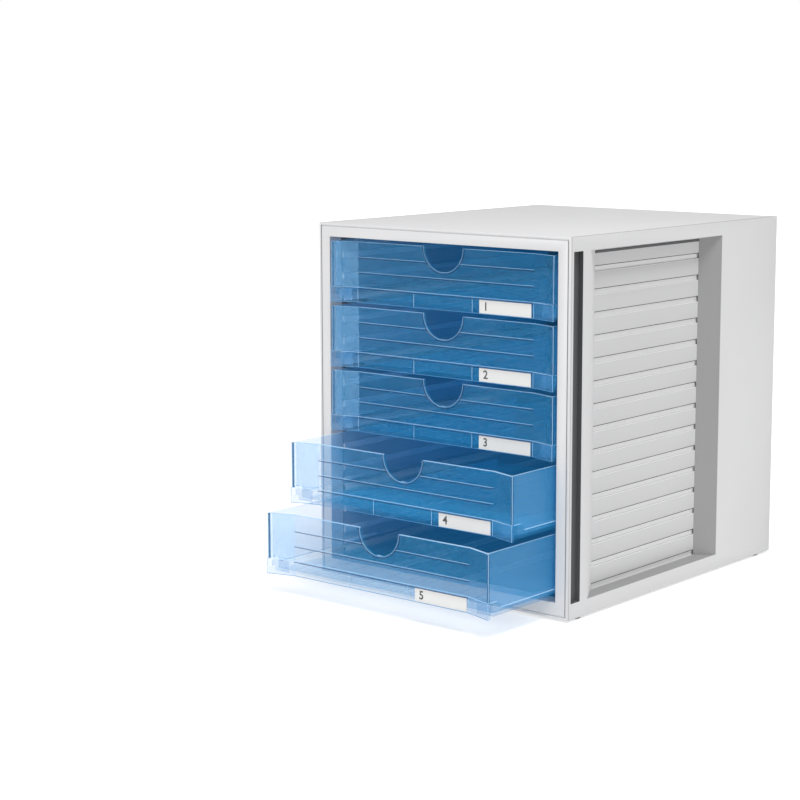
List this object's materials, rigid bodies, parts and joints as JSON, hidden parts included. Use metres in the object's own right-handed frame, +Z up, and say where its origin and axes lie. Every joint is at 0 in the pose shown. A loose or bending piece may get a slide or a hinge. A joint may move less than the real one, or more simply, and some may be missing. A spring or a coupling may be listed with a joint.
{
  "type": "desktop drawer organizer",
  "caption": "Closed desktop cabinet with five pull-out translucent trays on runners, each with a finger notch and a label card, slatted recesses in both sides.",
  "frame": {"origin": "on the desk, at the lower face of the feet, below the middle of the overall box, which is measured with drawers 4 and 5 pulled out as they stand", "axes": "+Z up, -Y out of the front where the drawers open, +X to the right seen from the front"},
  "size_m": [0.275, 0.4176, 0.32],
  "materials": {
    "cabinet_plastic": "satin light grey moulded polystyrene",
    "dark_insert": "matte dark grey moulded plastic",
    "tinted_drawer": "glossy translucent blue moulded polystyrene",
    "label_card": "white card with a satin film",
    "rubber_feet": "matte dark rubber"
  },
  "bodies": {
    "cabinet": {"front_frame": "cabinet_plastic", "top_cover": "cabinet_plastic", "base_panel": "cabinet_plastic", "rear_panel": "cabinet_plastic", "side_shell_left": "cabinet_plastic", "slot_insert_left": "dark_insert", "runner_panel_left": "cabinet_plastic", "foot_front_left": "rubber_feet", "foot_rear_left": "rubber_feet", "side_shell_right": "cabinet_plastic", "slot_insert_right": "dark_insert", "runner_panel_right": "cabinet_plastic", "foot_front_right": "rubber_feet", "foot_rear_right": "rubber_feet"},
    "drawer_1": {"drawer_tray_1": "tinted_drawer", "label_card_1": "label_card"},
    "drawer_2": {"drawer_tray_2": "tinted_drawer", "label_card_2": "label_card"},
    "drawer_3": {"drawer_tray_3": "tinted_drawer", "label_card_3": "label_card"},
    "drawer_4": {"drawer_tray_4": "tinted_drawer", "label_card_4": "label_card"},
    "drawer_5": {"drawer_tray_5": "tinted_drawer", "label_card_5": "label_card"}
  },
  "joints": [
    {"name": "drawer_1_slide", "type": "slide", "parent": "cabinet", "child": "drawer_1", "axis": [0, -1, 0], "range_m": [0, 0.24]},
    {"name": "drawer_2_slide", "type": "slide", "parent": "cabinet", "child": "drawer_2", "axis": [0, -1, 0], "range_m": [0, 0.24]},
    {"name": "drawer_3_slide", "type": "slide", "parent": "cabinet", "child": "drawer_3", "axis": [0, -1, 0], "range_m": [0, 0.24]},
    {"name": "drawer_4_slide", "type": "slide", "parent": "cabinet", "child": "drawer_4", "axis": [0, -1, 0], "range_m": [-0.054, 0.186]},
    {"name": "drawer_5_slide", "type": "slide", "parent": "cabinet", "child": "drawer_5", "axis": [0, -1, 0], "range_m": [-0.085, 0.155]}
  ]
}
